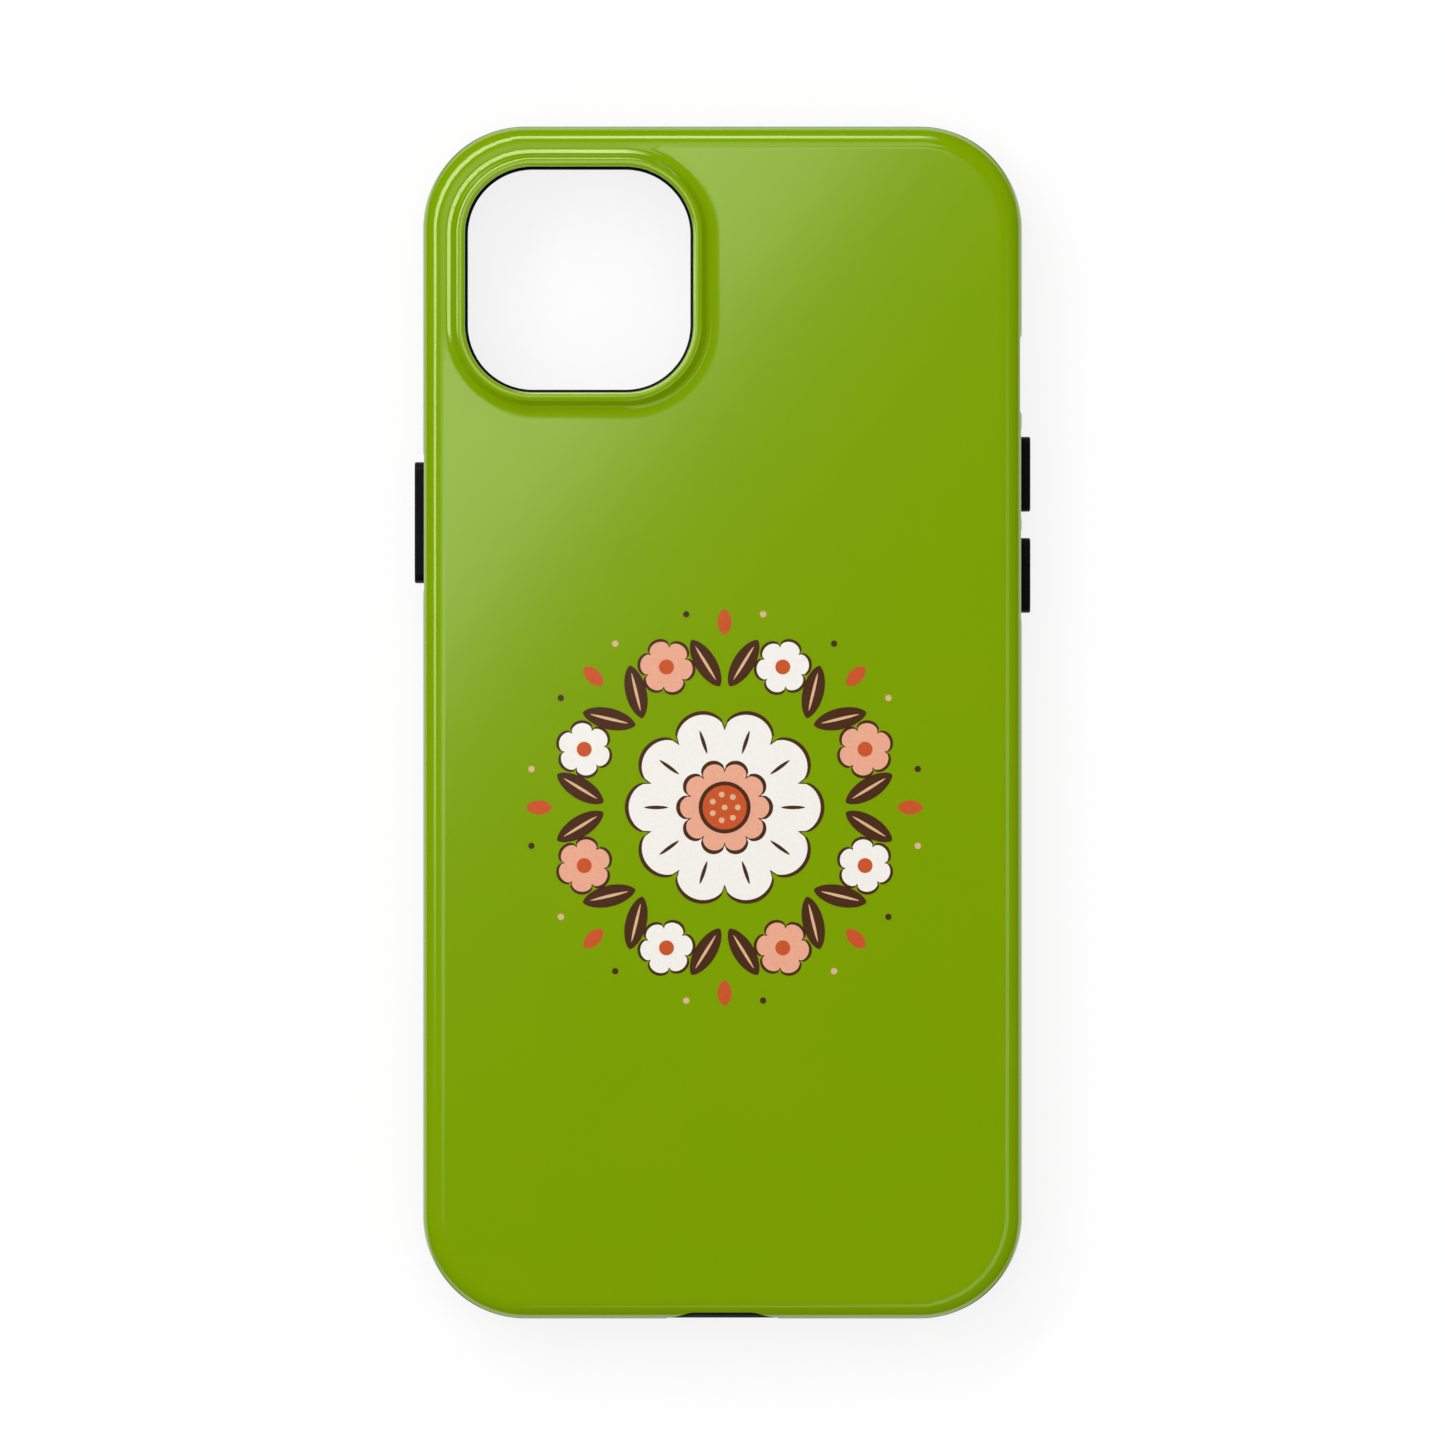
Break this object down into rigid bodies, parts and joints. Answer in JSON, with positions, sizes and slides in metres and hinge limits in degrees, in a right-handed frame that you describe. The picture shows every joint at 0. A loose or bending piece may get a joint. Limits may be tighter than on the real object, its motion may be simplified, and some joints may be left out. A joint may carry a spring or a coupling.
{
  "type": "phone case",
  "caption": "Two-layer tough phone case: a glossy hard shell with a raised camera collar over a black soft liner with press keys, a port boss and a lip round the screen.",
  "frame": {"origin": "on the surface that the case lies on, back up, under the middle of the box round the case", "axes": "+X to the right and +Y to the top end of the phone, both as seen from behind; +Z out of the back"},
  "size_m": [0.0864, 0.167, 0.0127],
  "materials": {
    "shell_plastic": "glossy injection-moulded polycarbonate, lime green",
    "liner_rubber": "fine satin texture, black",
    "key_rubber": "satin, black"
  },
  "bodies": {
    "case": {"outer_shell": "shell_plastic", "inner_liner": "liner_rubber", "volume_up_key_web": "liner_rubber", "volume_down_key_web": "liner_rubber", "side_key_web": "liner_rubber"},
    "volume_up": {"volume_up_key": "key_rubber"},
    "volume_down": {"volume_down_key": "key_rubber"},
    "side": {"side_key": "key_rubber"}
  },
  "joints": [
    {"name": "volume_up_press", "type": "slide", "parent": "case", "child": "volume_up", "axis": [-1, 0, 0], "range_m": [0, 0.0004], "stiffness_N_per_m": 1500, "deforming": ["volume_up_key_web"]},
    {"name": "volume_down_press", "type": "slide", "parent": "case", "child": "volume_down", "axis": [-1, 0, 0], "range_m": [0, 0.0004], "stiffness_N_per_m": 1500, "deforming": ["volume_down_key_web"]},
    {"name": "side_press", "type": "slide", "parent": "case", "child": "side", "axis": [1, 0, 0], "range_m": [0, 0.0004], "stiffness_N_per_m": 1500, "deforming": ["side_key_web"]}
  ]
}
